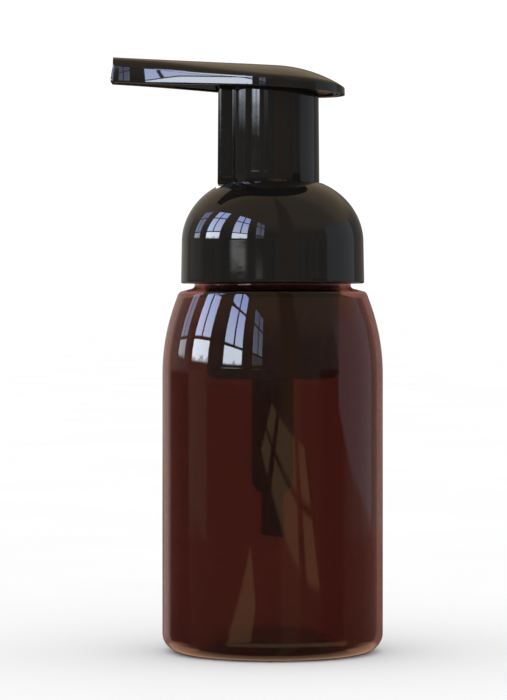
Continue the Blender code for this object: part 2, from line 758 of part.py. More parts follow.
def plate_under_spout():
    """A flat plate between the spout's rims, from its tip to the sleeve's boss."""
    start, end = TIP_X + RIM_WALL + GAP, BOSS_FRONT_X - 2 * GAP
    sections = []
    for k in range(9):
        x = start + (end - start) * k / 8
        width = half_width(x, RIM_WALL) - 1.5 * GAP
        low = underside_z(x) + PLATE_LIFT
        high = low + PLATE_THICKNESS
        sections.append([(x, -width, low), (x, width, low), (x, width, high), (x, -width, high)])
    return lofted("duct_plate", sections, cutters)


def build_spout_duct():
    """The foam channel along the spout, its spigot, and the plate that closes the spout below."""
    top = DUCT_LIFT + DUCT_HEIGHT
    spigot = SOCKET_BORE_RADIUS - 0.6
    tube = block(
        "spout_duct", (TIP_X + 0.2, -DUCT_HALF_WIDTH, DUCT_LIFT), (0, DUCT_HALF_WIDTH, top),
        corner=0.6, along="X", collection=parts,
    )
    cap = rod("duct_cap", DUCT_CHAMBER_RADIUS, DUCT_LIFT, top)
    channel = block(
        "duct_channel",
        (TIP_X - 2, -DUCT_HALF_WIDTH + DUCT_WALL, DUCT_LIFT + DUCT_WALL),
        (1, DUCT_HALF_WIDTH - DUCT_WALL, top - DUCT_WALL),
    )
    room = rod("duct_room", DUCT_CHAMBER_RADIUS - 1.2, DUCT_LIFT + DUCT_WALL, top - DUCT_WALL)
    for piece in (tube, cap, channel, room):
        tilt_with_underside(piece)
    pipe = rod("duct_spigot", spigot, SPIGOT_SEAT_Z + GAP, UNDERSIDE_Z + DUCT_LIFT + 1.0)
    bore = rod(
        "duct_bore", spigot - 1.1, SPIGOT_SEAT_Z - GAP, UNDERSIDE_Z + DUCT_LIFT + DUCT_WALL + 0.8
    )
    combine(tube, plate_under_spout(), "UNION")
    combine(tube, cap, "UNION")
    combine(tube, pipe, "UNION")
    combine(tube, channel, "DIFFERENCE")
    combine(tube, room, "DIFFERENCE")
    combine(tube, bore, "DIFFERENCE")
    return finished(tube, plastic("black_duct", (0.015, 0.014, 0.013), 0.3))


def build_head_sleeve():
    top = UNDERSIDE_Z + 4
    screen_ledge_z = SCREEN_SLEEVE_TOP_Z + SCREEN_THICKNESS + 3 * GAP
    inner = SLEEVE_RADIUS - SLEEVE_WALL
    outline = [
        (SOCKET_BORE_RADIUS, SOCKET_BOTTOM_Z),
        (SOCKET_BORE_RADIUS, screen_ledge_z),
        (SOCKET_BORE_RADIUS - 0.9, screen_ledge_z),
        (SOCKET_BORE_RADIUS - 0.9, SPIGOT_SEAT_Z),
        (SOCKET_BORE_RADIUS - GAP, SPIGOT_SEAT_Z),
        (SOCKET_BORE_RADIUS - GAP, top),
        (SLEEVE_RADIUS, top),
        (SLEEVE_RADIUS, SLEEVE_BOTTOM_Z),
        (inner, SLEEVE_BOTTOM_Z),
        (inner, SLEEVE_PLATE_Z),
        (SOCKET_RADIUS, SLEEVE_PLATE_Z),
        (SOCKET_RADIUS, SOCKET_BOTTOM_Z),
    ]
    sleeve = turned("head_sleeve", outline, parts, steps=40)
    boss = block(
        "sleeve_boss",
        (BOSS_FRONT_X, -BOSS_HALF_WIDTH, BOSS_BOTTOM_Z),
        (-inner + 2.0, BOSS_HALF_WIDTH, top),
        corner=BOSS_CORNER,
    )
    combine(sleeve, boss, "UNION")
    pocket = block(
        "boss_pocket",
        (BOSS_FRONT_X + BOSS_WALL, -BOSS_HALF_WIDTH + BOSS_WALL, SLEEVE_BOTTOM_Z - 2),
        (-SOCKET_RADIUS - 0.8, BOSS_HALF_WIDTH - BOSS_WALL, SLEEVE_PLATE_Z),
    )
    combine(sleeve, pocket, "DIFFERENCE")
    above = block("sleeve_top_knife", (-30, -30, SLEEVE_TOP_LIFT), (30, 30, 12))
    tilt_with_underside(above)
    combine(sleeve, above, "DIFFERENCE")
    return finished(sleeve, plastic("black_sleeve", (0.013, 0.012, 0.011), 0.14))


clear_scene()
parts = new_collection(OBJECT_NAME)
cutters = new_collection("cutters")
cutters.hide_render = True

build_bottle()
build_collar()
build_pump_housing()
build_neck_gasket()
build_stem_guide()
build_dip_tube()
build_inlet_ball()
build_return_spring()
build_air_piston()
build_air_valve()
build_liquid_stem()
build_liquid_piston()
build_outlet_ball()
build_mixing_ring()
build_screen("lower_mesh", SCREEN_SLEEVE_BOTTOM_Z - GAP - SCREEN_THICKNESS)
build_mesh_sleeve()
build_screen("upper_mesh", SCREEN_SLEEVE_TOP_Z + GAP)
build_head_sleeve()
build_spout_duct()
build_head_paddle()
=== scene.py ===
"""Looks of the foam soap pump dispenser: fine meshes, materials, studio and camera.

Every piece is drawn in millimetres in the part's own frame (bottle's axis on Z, spout to -X) and
turned into metres with MM. The room that the glossy surfaces mirror is part of the world's shader.
"""

import json
import math

import bmesh
import bpy
from mathutils import Matrix, Vector


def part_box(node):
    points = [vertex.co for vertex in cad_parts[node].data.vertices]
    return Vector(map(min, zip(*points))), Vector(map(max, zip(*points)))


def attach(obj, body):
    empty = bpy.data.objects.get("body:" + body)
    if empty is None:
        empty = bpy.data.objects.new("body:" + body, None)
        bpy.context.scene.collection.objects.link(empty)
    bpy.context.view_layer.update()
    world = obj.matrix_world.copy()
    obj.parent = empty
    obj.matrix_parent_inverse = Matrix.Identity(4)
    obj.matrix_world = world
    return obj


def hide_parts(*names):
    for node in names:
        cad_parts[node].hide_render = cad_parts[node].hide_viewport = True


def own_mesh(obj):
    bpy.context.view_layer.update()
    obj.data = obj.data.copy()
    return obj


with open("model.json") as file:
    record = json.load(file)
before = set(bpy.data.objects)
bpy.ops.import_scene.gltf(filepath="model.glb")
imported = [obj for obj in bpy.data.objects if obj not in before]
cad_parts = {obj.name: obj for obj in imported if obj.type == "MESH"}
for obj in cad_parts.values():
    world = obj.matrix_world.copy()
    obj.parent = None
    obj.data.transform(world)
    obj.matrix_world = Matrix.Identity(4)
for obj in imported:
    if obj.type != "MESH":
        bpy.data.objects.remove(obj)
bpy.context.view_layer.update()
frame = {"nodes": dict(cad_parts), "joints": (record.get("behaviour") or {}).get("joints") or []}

MM = 0.001


def node_size(node):
    """Lowest and highest corner of a CAD node, in millimetres."""
    low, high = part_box(node)
    return low / MM, high / MM


GAP = 0.3

# Bottle
BOTTLE_RADIUS = node_size("bottle")[1].x
LIP_Z = node_size("bottle")[1].z
BOTTLE_WALL = 1.5
BASE_THICKNESS = 1.8
BASE_CORNER = 4.6
PUSH_UP_INSIDE = (18.6, 4.9)  # radius and rise of the dome pressed up into the base
PUSH_UP_UNDERSIDE = (19.4, 5.0)
PUSH_UP_FILLET = 3.0
SHOULDER_START_Z = 71.4
SHOULDER_ARC = 54.5
SHOULDER_EDGE = (24.25, 92.7)
NECK_RADIUS = 20.2
NECK_FOOT_Z = 93.75
NECK_STEP_Z = node_size("collar")[0].z + 0.8  # where the neck narrows to its threaded part
NECK_STEP_HEIGHT = 0.6
NECK_ROOT_RADIUS = 19.2
NECK_BORE_RADIUS = 17.6

# Thread on the neck and in the collar
THREAD_LEAD = 4.2
THREAD_TURNS = 1.25
THREAD_START_Z = 101.5
THREAD_CREST_RADIUS = 20.4
THREAD_HALF_WIDTHS = (0.85, 0.5)  # at the root and at the crest
THREAD_ROOT_DEPTH = 0.4
COLLAR_THREAD_CREST = 19.75
COLLAR_THREAD_DROP = 1.55

# Collar
COLLAR_RADIUS = node_size("collar")[1].x
COLLAR_BOTTOM_Z = node_size("collar")[0].z
COLLAR_BORE_RADIUS = 21.2
COLLAR_LEDGE = (18.2, 113.1)
FLANGE_ROOM = 19.9
DOME_CENTRE = (5.1, 105.5)
DOME_OUTER = (18.4, 16.8)
DOME_INNER = (16.7, 15.0)
HOLE_LIP = 0.35  # how far the dome's outer edge stands back from the hole
KEY_RISE = (3.0, 10.0)  # the slot for the boss, above the ledge
HEAD_CLEARANCE = 0.45

# Pump housing and dip tube
HOUSING_BOTTOM_Z = node_size("pump_housing")[0].z
FLANGE_TOP_Z = node_size("pump_housing")[1].z
FLANGE_RADIUS = node_size("pump_housing")[1].x
FLANGE_BOTTOM_Z = FLANGE_TOP_Z - 1.4
AIR_OUTER_RADIUS = 17.2
AIR_BORE_RADIUS = 15.9
GUIDE_SEAT = (16.4, 102.5)
AIR_BOTTOM_Z = 70.4
AIR_FLOOR_Z = 71.8
LIQUID_OUTER_RADIUS = 5.55
LIQUID_BORE_RADIUS = 4.4
LIQUID_RIM_Z = 76.0
LIQUID_BOTTOM_Z = 43.7
INLET_SEAT_Z = 49.5
INLET_THROAT_RADIUS = 1.4
TUBE_RADIUS = 3.02
TUBE_BORE_RADIUS = 2.1
TUBE_TOP_Z = node_size("dip_tube")[1].z
TUBE_END_Z = 29.7
TUBE_CUT_ANGLE = math.radians(9)
TUBE_OFFCUT = 2.0  # drawn below the end and cut away

# Spring
SPRING_RADIUS = 7.3
SPRING_WIRE_RADIUS = 0.5
SPRING_TURNS = 7
SPRING_CLOSED_PITCH = 2.3 * SPRING_WIRE_RADIUS  # of the first and the last turn
SPRING_POINTS_PER_TURN = 48

# Head
SLEEVE_RADIUS = node_size("head_sleeve")[1].x
SLEEVE_WALL = 1.5
SLEEVE_BOTTOM_Z = 118.6
SLEEVE_DRAFT = 0.2
SLEEVE_PLATE_Z = 143.4
SLEEVE_TOP_LIFT = 0.8
SOCKET_BOTTOM_Z = node_size("head_sleeve")[0].z
SOCKET_RADIUS = 6.6
SOCKET_BORE_RADIUS = 5.3
SCREEN_LEDGE_Z = 127.6
SPIGOT_SEAT_Z = 138.7
BOSS_FRONT_X = node_size("head_sleeve")[0].x
BOSS_BOTTOM_Z = 120.3
BOSS_HALF_WIDTH = 6.5
BOSS_CORNER = 1.2
BOSS_FILLET = 0.5

# Paddle
PADDLE_RADIUS = node_size("head_paddle")[1].x
TIP_X = node_size("head_paddle")[0].x
SPOUT_TAPER = math.radians(25.3)
FLARE_POWER = 2.8
RIM_WALL = 1.55
ROOF_THICKNESS = 1.35
UNDERSIDE_Z = 144.45
UNDERSIDE_SLOPE = -0.052
RIDGE_Z = 151.1
RIDGE_END_X = 1.2
RIDGE_ARC = 33.5
RIM_TOP_Z = 146.4
RIM_TOP_SLOPES = (-0.1055, -0.064)  # over the spout and over the disc
CROWN_POWER = 2.3
EDGE_ROUNDS = (0.7, 2.0)  # height of the round above the rim, on the disc and at the tip
EDGE_ROUND_START = math.radians(22)
EDGE_ROUND_POWER = 1.6  # how late the round grows towards the tip
EDGE_ROUND_SHARE = 0.45  # the round's greatest share of the crown's height
RIM_LEAN = 0.044  # of the spout's rim, inwards for each unit of height
RIM_LEAN_X = (-24, -32)  # where the lean starts and where it is full
RIM_CURVE = 0.0225
TIP_CORNER = 0.7
DUCT_HALF_WIDTH = 2.1
DUCT_HEIGHT = 3.4
DUCT_LIFT = 1.1
DUCT_WALL = 0.6
DUCT_CHAMBER_RADIUS = 5.6
DUCT_CHAMBER_WALL = 1.2
SPIGOT_WALL = 1.1
PLATE_LIFT = 0.35
PLATE_THICKNESS = 1.0

TURN_STEPS = 192  # round a turned piece
ROUND_POINTS = 60  # along half the round part of the sleeve
ARC_STEP = math.radians(9)
SHARP_ANGLE = math.radians(32)


# ---------------------------------------------------------------- mesh helpers

def object_from(name, bm):
    mesh = bpy.data.meshes.new(name)
    bm.to_mesh(mesh)
    bm.free()
    obj = bpy.data.objects.new(name, mesh)
    bpy.context.scene.collection.objects.link(obj)
    return obj


def realised(obj):
    """The object as a plain mesh, with its modifiers applied and its doubled points merged."""
    bpy.context.view_layer.update()
    graph = bpy.context.evaluated_depsgraph_get()
    mesh = bpy.data.meshes.new_from_object(obj.evaluated_get(graph))
    name, place = obj.name, obj.matrix_world.copy()
    bpy.data.objects.remove(obj)
    bm = bmesh.new()
    bm.from_mesh(mesh)
    bpy.data.meshes.remove(mesh)
    bmesh.ops.remove_doubles(bm, verts=bm.verts, dist=1e-7)
    bmesh.ops.recalc_face_normals(bm, faces=bm.faces)
    made = object_from(name, bm)
    made.matrix_world = place
    return made


def cut_or_joined(obj, others, operation):
    """The object with the others cut from it or joined to it; the others are used up."""
    for other in others:
        modifier = obj.modifiers.new(other.name, "BOOLEAN")
        modifier.operation = operation
        modifier.object = other
    obj = realised(obj)
    for other in others:
        bpy.data.objects.remove(other)
    return obj


def finished(obj, material, body, slot, *nodes):
    """Smooth shading, material, and the body and CAD nodes that the piece stands for; slot is not used."""
    obj.data.materials.clear()
    obj.data.materials.append(material)
    obj.data.shade_smooth()
    obj.data.set_sharp_from_angle(angle=SHARP_ANGLE)
    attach(obj, body)
    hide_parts(*nodes)
    return obj


def rounded(corners, arc_step=ARC_STEP):
    """The outline through corners (r, z) or (r, z, fillet radius), its fillets as arcs."""
    outline = []
    for i, corner in enumerate(corners):
        here = Vector(corner[:2])
        if len(corner) == 2:
            outline.append(here)
            continue
        back = (Vector(corners[i - 1][:2]) - here).normalized()
        ahead = (Vector(corners[(i + 1) % len(corners)][:2]) - here).normalized()
        half = back.angle(ahead) / 2
        centre = here + (back + ahead).normalized() * corner[2] / math.sin(half)
        start = here + back * corner[2] / math.tan(half) - centre
        turn = start.angle_signed(here + ahead * corner[2] / math.tan(half) - centre)
        pieces = max(2, math.ceil(abs(turn) / arc_step))
        for k in range(pieces + 1):
            outline.append(centre + Matrix.Rotation(-turn * k / pieces, 2) @ start)
    return outline


def ellipse_arc(centre, semi_axes, start, end, pieces):
    for k in range(pieces + 1):
        angle = start + (end - start) * k / pieces
        yield (
            centre[0] + semi_axes[0] * math.cos(angle),
            centre[1] + semi_axes[1] * math.sin(angle),
        )


def supported(outline, longest=3.0, offset=0.4):
    """The outline with a point near each end of its long sides, so that they shade as straight."""
    points = [Vector(outline[0])]
    for here in map(Vector, outline[1:]):
        side = here - points[-1]
        if side.length > longest:
            step = side.normalized() * offset
            points += [points[-1] + step, here - step]
        points.append(here)
    return points


def turned(name, outline, closed=True, steps=TURN_STEPS):
    """A turned piece. The outline (r, z) runs up the bore, out, and down the outer side."""
    bm = bmesh.new()
    verts = [bm.verts.new((r * MM, 0, z * MM)) for r, z in supported(outline)]
    for a, b in list(zip(verts, verts[1:])) + ([(verts[-1], verts[0])] if closed else []):
        bm.edges.new((a, b))
    obj = object_from(name, bm)
    screw = obj.modifiers.new("turn", "SCREW")
    screw.steps = screw.render_steps = steps
    screw.use_merge_vertices = True
    screw.merge_threshold = 1e-6
    return realised(obj)


def helical_ridge(name, root_radius, crest_radius, start_z):
    """One thread ridge, whose ends run out into the wall that it stands on."""
    root = root_radius - math.copysign(THREAD_ROOT_DEPTH, crest_radius - root_radius)
    count = round(TURN_STEPS * THREAD_TURNS)
    run_out = TURN_STEPS // 12
    root_half, crest_half = THREAD_HALF_WIDTHS
    bm = bmesh.new()
    rings = []
    for k in range(count + 1):
        angle = math.tau * k / TURN_STEPS
        z = start_z + THREAD_LEAD * k / TURN_STEPS
        height = min(1.0, 0.15 + k / run_out, 0.15 + (count - k) / run_out)
        crest = root_radius + (crest_radius - root_radius) * height
        section = [(root, root_half), (crest, crest_half), (crest, -crest_half), (root, -root_half)]
        rings.append([
            bm.verts.new((r * math.cos(angle) * MM, r * math.sin(angle) * MM, (z + dz) * MM))
            for r, dz in section
        ])
    join_rings(bm, rings)
    bm.faces.new(rings[0])
    bm.faces.new(reversed(rings[-1]))
    bmesh.ops.recalc_face_normals(bm, faces=bm.faces)
    return object_from(name, bm)


def join_rings(bm, rings, closed=False):
    """Faces between rings of points that have the same count."""
    for ring_a, ring_b in zip(rings, rings[1:] + (rings[:1] if closed else [])):
        for k in range(len(ring_a)):
            j = (k + 1) % len(ring_a)
            bm.faces.new((ring_a[k], ring_a[j], ring_b[j], ring_b[k]))


def block(name, low, high, corner=0.0, along="Z"):
    """A box from corner low to corner high, its edges along one axis rounded."""
    bm = bmesh.new()
    bmesh.ops.create_cube(bm, size=1)
    low, high = Vector(low) * MM, Vector(high) * MM
    bmesh.ops.scale(bm, vec=high - low, verts=bm.verts)
    bmesh.ops.translate(bm, vec=(low + high) / 2, verts=bm.verts)
    if corner:
        axis = Vector([float(letter == along) for letter in "XYZ"])
        edges = [
            e for e in bm.edges
            if abs((e.verts[1].co - e.verts[0].co).normalized().dot(axis)) > 0.9
        ]
        bmesh.ops.bevel(
            bm, geom=edges, offset=corner * MM, segments=8, profile=0.5, affect="EDGES"
        )
    return object_from(name, bm)


def rod(name, radius, low_z, high_z, steps=96):
    """An upright cylinder on the bottle's axis."""
    bm = bmesh.new()
    bmesh.ops.create_cone(
        bm, cap_ends=True, segments=steps, radius1=radius * MM, radius2=radius * MM,
        depth=(high_z - low_z) * MM,
        matrix=Matrix.Translation((0, 0, (low_z + high_z) / 2 * MM)),
    )
    return object_from(name, bm)


# ---------------------------------------------------------------- materials

class Field:
    """A shader value whose arithmetic makes Math nodes."""

    def __init__(self, tree, socket):
        self.tree = tree
        self.socket = socket

    def maths(self, operation, *others):
        node = self.tree.nodes.new("ShaderNodeMath")
        node.operation = operation
        for slot, value in zip(node.inputs, (self, *others)):
            if isinstance(value, Field):
                self.tree.links.new(value.socket, slot)
            else:
                slot.default_value = value
        return Field(self.tree, node.outputs[0])

    def __add__(self, other):
        return self.maths("ADD", other)

    def __sub__(self, other):
        return self.maths("SUBTRACT", other)

    def __mul__(self, other):
        return self.maths("MULTIPLY", other)

    def __truediv__(self, other):
        return self.maths("DIVIDE", other)

    def mapped(self, low, high, to_low=0.0, to_high=1.0, smooth=True):
        """The value's way from low to high, as a number from to_low to to_high."""
        node = self.tree.nodes.new("ShaderNodeMapRange")
        node.interpolation_type = "SMOOTHSTEP" if smooth else "LINEAR"
        self.tree.links.new(self.socket, node.inputs["Value"])
        for name, value in zip(("From Min", "From Max", "To Min", "To Max"), (low, high, to_low, to_high)):
            node.inputs[name].default_value = value
        return Field(self.tree, node.outputs["Result"])

    def between(self, low, high, soft=0.01):
        """1 where the value is between low and high, with soft edges."""
        return self.mapped(low - soft, low + soft) * self.mapped(high - soft, high + soft, 1.0, 0.0)


def mixed(tree, factor, below, above):
    """A colour socket: below where factor is 0, above where it is 1."""
    node = tree.nodes.new("ShaderNodeMix")
    node.data_type = "RGBA"
    tree.links.new(factor.socket, node.inputs["Factor"])
    for name, colour in (("A", below), ("B", above)):
        socket = next(s for s in node.inputs if s.name == name and s.type == "RGBA")
        if isinstance(colour, bpy.types.NodeSocket):
            tree.links.new(colour, socket)
        else:
            socket.default_value = (*colour, 1.0)
    return next(s for s in node.outputs if s.type == "RGBA")


def noise(tree, coordinates, scale, detail=3.0):
    node = tree.nodes.new("ShaderNodeTexNoise")
    node.inputs["Scale"].default_value = scale
    node.inputs["Detail"].default_value = detail
    tree.links.new(coordinates, node.inputs["Vector"])
    return Field(tree, node.outputs["Fac"])


def joined(tree, u, v):
    """A vector socket whose x and y are two fields."""
    node = tree.nodes.new("ShaderNodeCombineXYZ")
    for field, slot in zip((u, v), node.inputs):
        tree.links.new(field.socket, slot)
    return node.outputs[0]


def object_coordinates(tree):
    return tree.nodes.new("ShaderNodeTexCoord").outputs["Object"]


def surface(name, **sockets):
    """A material, and its Principled shader with these sockets set; _ stands for a space."""
    material = bpy.data.materials.new(name)
    material.use_nodes = True
    shader = material.node_tree.nodes["Principled BSDF"]
    for label, value in sockets.items():
        shader.inputs[label.replace("_", " ")].default_value = value
    return material, shader


def bumped(tree, shader, height, depth):
    """Raises the surface by height times depth, in metres."""
    node = tree.nodes.new("ShaderNodeBump")
    node.inputs["Distance"].default_value = depth
    tree.links.new(height.socket, node.inputs["Height"])
    tree.links.new(node.outputs["Normal"], shader.inputs["Normal"])


def moulded(name, colours, roughness, grain, depth, **sockets):
    """Moulded plastic: faint flow in its colour, patches of polish, and a fine grain."""
    material, shader = surface(name, **sockets)
    tree = material.node_tree
    place = object_coordinates(tree)
    flow = noise(tree, place, 45.0, 4.0).mapped(0.35, 0.65)
    tree.links.new(mixed(tree, flow, *colours), shader.inputs["Base Color"])
    polish = noise(tree, place, 160.0, 5.0).mapped(0.3, 0.7, *roughness)
    tree.links.new(polish.socket, shader.inputs["Roughness"])
    bumped(tree, shader, noise(tree, place, grain, 2.0), depth)
    return material


def clear_amber():
    """Transparent amber PET: the walls bend light very little, and a clear coat mirrors the room."""
    material, shader = surface(
        "amber_pet", Base_Color=(0.185, 0.06, 0.045, 1.0), Roughness=0.0, IOR=1.001,
        Transmission_Weight=1.0, Coat_Weight=1.0, Coat_Roughness=0.0, Coat_IOR=1.5,
    )
    tree = material.node_tree
    waves = noise(tree, object_coordinates(tree), 22.0, 1.0)
    bumped(tree, shader, waves, 0.000008)
    return material


def steel():
    """Drawn stainless steel with fine scratches."""
    material, shader = surface("stainless_steel", Metallic=1.0)
    tree = material.node_tree
    place = object_coordinates(tree)
    stain = noise(tree, place, 90.0, 4.0).mapped(0.3, 0.7)
    tree.links.new(mixed(tree, stain, (0.55, 0.54, 0.52), (0.68, 0.68, 0.67)), shader.inputs["Base Color"])
    scratches = noise(tree, place, 900.0, 3.0)
    tree.links.new(scratches.mapped(0.3, 0.7, 0.16, 0.3).socket, shader.inputs["Roughness"])
    bumped(tree, shader, scratches, 0.000004)
    return material


# ---------------------------------------------------------------- bottle

def shoulder_radius(z, inset=0.0):
    rise = z - SHOULDER_START_Z
    arc = SHOULDER_ARC - inset
    return BOTTLE_RADIUS - SHOULDER_ARC + math.sqrt(arc * arc - rise * rise)


def push_up(size, foot_z, pieces=14):
    """The outline of the base's shallow dome, from its centre out to its foot."""
    radius, rise = size
    sphere = (radius ** 2 + rise ** 2) / (2 * rise)
    steps = [radius * k / pieces for k in range(pieces)]
    arc = [(r, foot_z + rise - sphere + math.sqrt(sphere ** 2 - r ** 2)) for r in steps]
    return [*arc, (radius, foot_z, PUSH_UP_FILLET)]


def build_bottle(material):
    rows = 18
    edge_z = SHOULDER_EDGE[1]
    inside_edge_z = edge_z - BOTTLE_WALL
    inner_z = [SHOULDER_START_Z + (inside_edge_z - SHOULDER_START_Z) * k / rows for k in range(rows)]
    outer_z = [edge_z + (SHOULDER_START_Z - edge_z) * k / rows for k in range(2, rows + 1)]
    outline = rounded([
        *push_up(PUSH_UP_INSIDE, BASE_THICKNESS),
        (BOTTLE_RADIUS - BOTTLE_WALL, BASE_THICKNESS, BASE_CORNER - BOTTLE_WALL),
        *[(shoulder_radius(z, BOTTLE_WALL), z) for z in inner_z],
        (shoulder_radius(inside_edge_z, BOTTLE_WALL), inside_edge_z, 0.8),
        (NECK_BORE_RADIUS, NECK_FOOT_Z - BOTTLE_WALL, 1.2),
        (NECK_BORE_RADIUS, LIP_Z, 0.3),
        (NECK_ROOT_RADIUS, LIP_Z, 0.4),
        (NECK_ROOT_RADIUS, NECK_STEP_Z + NECK_STEP_HEIGHT),
        (NECK_RADIUS, NECK_STEP_Z, 0.3),
        (NECK_RADIUS, NECK_FOOT_Z, 0.9),
        (*SHOULDER_EDGE, 1.5),
        *[(shoulder_radius(z), z) for z in outer_z],
        (BOTTLE_RADIUS, 0, BASE_CORNER),
        *push_up(PUSH_UP_UNDERSIDE, 0)[::-1],
    ])
    bottle = turned("bottle_fine", outline, closed=False)
    ridge = helical_ridge("neck_ridge", NECK_ROOT_RADIUS, THREAD_CREST_RADIUS, THREAD_START_Z)
    bottle = cut_or_joined(bottle, [ridge], "UNION")
    finished(bottle, material, "bottle", "amber_pet", "bottle")


# ---------------------------------------------------------------- collar

def build_collar(material):
    hole = SLEEVE_RADIUS + HEAD_CLEARANCE
    inner_start = math.acos((COLLAR_LEDGE[0] - DOME_CENTRE[0]) / DOME_INNER[0])
    inner_end = math.acos((hole - DOME_CENTRE[0]) / DOME_INNER[0])
    outer_start = math.acos((hole + HOLE_LIP - DOME_CENTRE[0]) / DOME_OUTER[0])
    outer_top_z = DOME_CENTRE[1] + DOME_OUTER[1] * math.sin(outer_start)
    outline = rounded([
        (COLLAR_BORE_RADIUS, COLLAR_BOTTOM_Z, 0.3),
        (COLLAR_BORE_RADIUS, FLANGE_BOTTOM_Z - 0.8),
        (FLANGE_ROOM, FLANGE_BOTTOM_Z - 0.2),
        (FLANGE_ROOM, COLLAR_LEDGE[1]),
        COLLAR_LEDGE,
        *ellipse_arc(DOME_CENTRE, DOME_INNER, inner_start, inner_end, 12),
        (hole, outer_top_z - 0.3),
        (hole + 0.1, outer_top_z - 0.08),
        *ellipse_arc(DOME_CENTRE, DOME_OUTER, outer_start, 0, 48),
        (COLLAR_RADIUS, COLLAR_BOTTOM_Z, 0.5),
    ])
    collar = turned("collar_fine", outline)
    ridge = helical_ridge(
        "collar_ridge", COLLAR_BORE_RADIUS, COLLAR_THREAD_CREST, THREAD_START_Z - COLLAR_THREAD_DROP
    )
    collar = cut_or_joined(collar, [ridge], "UNION")
    key = block(
        "collar_key",
        (BOSS_FRONT_X - HEAD_CLEARANCE, -BOSS_HALF_WIDTH - HEAD_CLEARANCE, COLLAR_LEDGE[1] + KEY_RISE[0]),
        (0, BOSS_HALF_WIDTH + HEAD_CLEARANCE, COLLAR_LEDGE[1] + KEY_RISE[1]),
        corner=BOSS_CORNER,
    )
    collar = cut_or_joined(collar, [key], "DIFFERENCE")
    finished(collar, material, "collar", "black_gloss", "collar")


# ---------------------------------------------------------------- pump body

def build_housing(material):
    throat = INLET_THROAT_RADIUS
    socket = TUBE_RADIUS + GAP
    outline = rounded([
        (socket, HOUSING_BOTTOM_Z),
        (socket, TUBE_TOP_Z + GAP),
        (throat, TUBE_TOP_Z + GAP),
        (throat, INLET_SEAT_Z),
        (LIQUID_BORE_RADIUS, INLET_SEAT_Z + LIQUID_BORE_RADIUS - throat),
        (LIQUID_BORE_RADIUS, LIQUID_RIM_Z, 0.2),
        (LIQUID_OUTER_RADIUS, LIQUID_RIM_Z, 0.3),
        (LIQUID_OUTER_RADIUS, AIR_FLOOR_Z, 0.4),
        (AIR_BORE_RADIUS, AIR_FLOOR_Z, 1.0),
        (AIR_BORE_RADIUS, GUIDE_SEAT[1]),
        GUIDE_SEAT,
        (GUIDE_SEAT[0], FLANGE_TOP_Z, 0.3),
        (FLANGE_RADIUS, FLANGE_TOP_Z, 0.3),
        (FLANGE_RADIUS, FLANGE_BOTTOM_Z, 0.3),
        (AIR_OUTER_RADIUS, FLANGE_BOTTOM_Z, 0.2),
        (AIR_OUTER_RADIUS, AIR_BOTTOM_Z, 2.0),
        (LIQUID_OUTER_RADIUS, AIR_BOTTOM_Z, 0.4),
        (LIQUID_OUTER_RADIUS, LIQUID_BOTTOM_Z, 0.35),
        (TUBE_RADIUS + 1.0, HOUSING_BOTTOM_Z, 0.2),
    ])
    housing = turned("housing_fine", outline)
    finished(housing, material, "pump", "black_satin", "pump_housing")


def build_dip_tube(material):
    outline = [
        (TUBE_BORE_RADIUS, TUBE_END_Z - TUBE_OFFCUT),
        (TUBE_BORE_RADIUS, TUBE_TOP_Z),
        (TUBE_RADIUS, TUBE_TOP_Z),
        (TUBE_RADIUS, TUBE_END_Z - TUBE_OFFCUT),
    ]
    tube = turned("dip_tube_fine", outline, steps=72)
    reach = 8
    knife = block("tube_knife", (-reach, -reach, -reach), (reach, reach, 0))
    knife.rotation_euler = (0, TUBE_CUT_ANGLE, 0)
    knife.location.z = TUBE_END_Z * MM
    tube = cut_or_joined(tube, [knife], "DIFFERENCE")
    finished(tube, material, "pump", "black_satin", "dip_tube")


def build_spring(material):
    """A round wire coil with closed end turns; the share of its length left when the head is pressed is
    worked out but not applied.
    """
    low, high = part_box("return_spring")
    low_z, high_z = low.z / MM + SPRING_WIRE_RADIUS, high.z / MM - SPRING_WIRE_RADIUS
    open_pitch = (high_z - low_z - 2 * SPRING_CLOSED_PITCH) / (SPRING_TURNS - 2)
    curve = bpy.data.curves.new("spring_fine", "CURVE")
    curve.dimensions = "3D"
    curve.bevel_depth = SPRING_WIRE_RADIUS * MM
    curve.bevel_resolution = 4
    curve.use_fill_caps = True
    spline = curve.splines.new("POLY")
    spline.points.add(SPRING_TURNS * SPRING_POINTS_PER_TURN)
    for k, point in enumerate(spline.points):
        turn = k / SPRING_POINTS_PER_TURN
        closed_turns = min(turn, 1) + max(turn - (SPRING_TURNS - 1), 0)
        z = low_z + SPRING_CLOSED_PITCH * closed_turns + open_pitch * (turn - closed_turns)
        angle = math.tau * turn
        place = Vector((SPRING_RADIUS * math.cos(angle), SPRING_RADIUS * math.sin(angle), z))
        point.co = (*(place * MM), 1)
    spring = bpy.data.objects.new("spring_fine", curve)
    bpy.context.scene.collection.objects.link(spring)
    spring = finished(realised(spring), material, "pump", "steel", "return_spring")
    press = next(joint for joint in frame["joints"] if joint["name"] == "head_press")
    length = high.z - low.z
    keep = 1 - press["range_m"][1] / length
    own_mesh(spring)


# ---------------------------------------------------------------- head

def underside_z(x):
    return UNDERSIDE_Z + UNDERSIDE_SLOPE * x


def ridge_z(x):
    """Height of the paddle's centre line: straight over the spout, then an arc down."""
    past = max(x - RIDGE_END_X, 0.0)
    drop = RIDGE_ARC - math.sqrt(RIDGE_ARC ** 2 - past ** 2)
    return RIDGE_Z + UNDERSIDE_SLOPE * (x - RIDGE_END_X) - drop


def rim_top_z(x):
    return RIM_TOP_Z + RIM_TOP_SLOPES[0 if x < 0 else 1] * x


